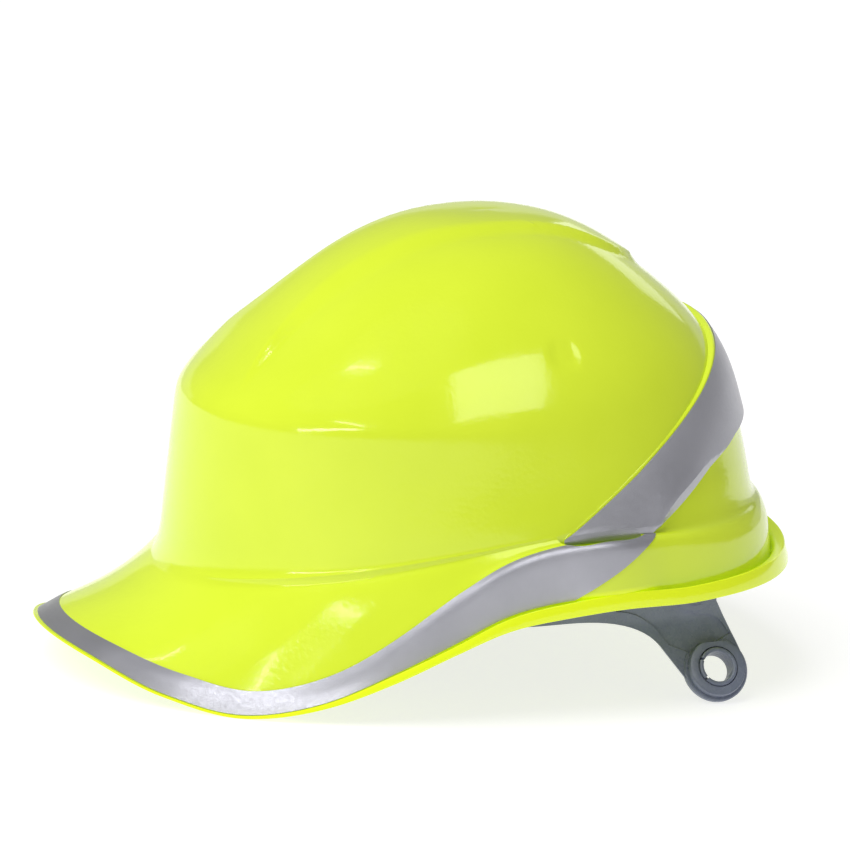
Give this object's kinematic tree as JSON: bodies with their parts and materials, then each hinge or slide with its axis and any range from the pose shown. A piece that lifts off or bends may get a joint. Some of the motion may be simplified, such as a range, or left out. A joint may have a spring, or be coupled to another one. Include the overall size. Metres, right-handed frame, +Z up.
{
  "type": "bump cap",
  "caption": "High-visibility bump cap: short-peaked moulded shell with reflective tape, webbing cradle, headband with eyelet arms, and a swinging nape strap tightened by a ratchet knob.",
  "frame": {"origin": "on the floor under the middle of the cap, as it stands on the two low corners of its peak and the two eyelets", "axes": "-Y towards the peak, +X towards the wearer's left, +Z up"},
  "size_m": [0.227, 0.2986, 0.1769],
  "materials": {
    "shell": "glossy fluorescent yellow-green",
    "reflective_tape": "silver grey retroreflective film",
    "webbing": "dark woven webbing",
    "slate_plastic": "satin slate grey",
    "soft_padding": "dark towelling over foam",
    "spring_steel": "plain"
  },
  "bodies": {
    "root": {"shell": "shell", "tape_peak": "reflective_tape", "tape_left": "reflective_tape", "tape_right": "reflective_tape", "tape_rear": "reflective_tape", "crown_strap_lengthwise": "webbing", "crown_strap_left_rear": "webbing", "crown_strap_right_rear": "webbing", "anchor_clip_front": "slate_plastic", "anchor_clip_front_left": "slate_plastic", "anchor_clip_rear_left": "slate_plastic", "anchor_clip_rear": "slate_plastic", "anchor_clip_rear_right": "slate_plastic", "anchor_clip_front_right": "slate_plastic", "headband": "slate_plastic", "sweatband": "soft_padding", "eyelet_bush_left": "slate_plastic", "eyelet_bush_right": "slate_plastic", "pivot_stud_left": "slate_plastic", "pivot_stud_right": "slate_plastic"},
    "nape_yoke": {"ratchet_housing": "slate_plastic", "housing_cover": "slate_plastic", "nape_pad": "soft_padding", "detent_spring": "spring_steel", "ratchet_axle": "spring_steel"},
    "knob": {"ratchet_knob": "slate_plastic", "drive_pinion": "slate_plastic"},
    "strap_left": {"nape_strap_left": "slate_plastic"},
    "strap_right": {"nape_strap_right": "slate_plastic"}
  },
  "joints": [
    {"name": "yoke_swing", "type": "hinge", "parent": "root", "child": "nape_yoke", "pos_m": [0, 0.08985, 0.0426], "axis": [1, 0, 0], "range_deg": [0, 180]},
    {"name": "knob_turn", "type": "hinge", "parent": "nape_yoke", "child": "knob", "pos_m": [0, 0.03823, 0.08989], "axis": [0, 0.7374, -0.6754], "range_deg": [0, 137.5]},
    {"name": "strap_left_slide", "type": "slide", "parent": "nape_yoke", "child": "strap_left", "axis": [-1, 0, 0], "range_m": [0, 0.0121]},
    {"name": "strap_right_slide", "type": "slide", "parent": "nape_yoke", "child": "strap_right", "axis": [1, 0, 0], "range_m": [0, 0.0121]}
  ],
  "couplings": [
    {"joint": "strap_left_slide", "follows": "knob_turn", "m_per_rad": 0.005},
    {"joint": "strap_right_slide", "follows": "knob_turn", "m_per_rad": 0.005}
  ]
}
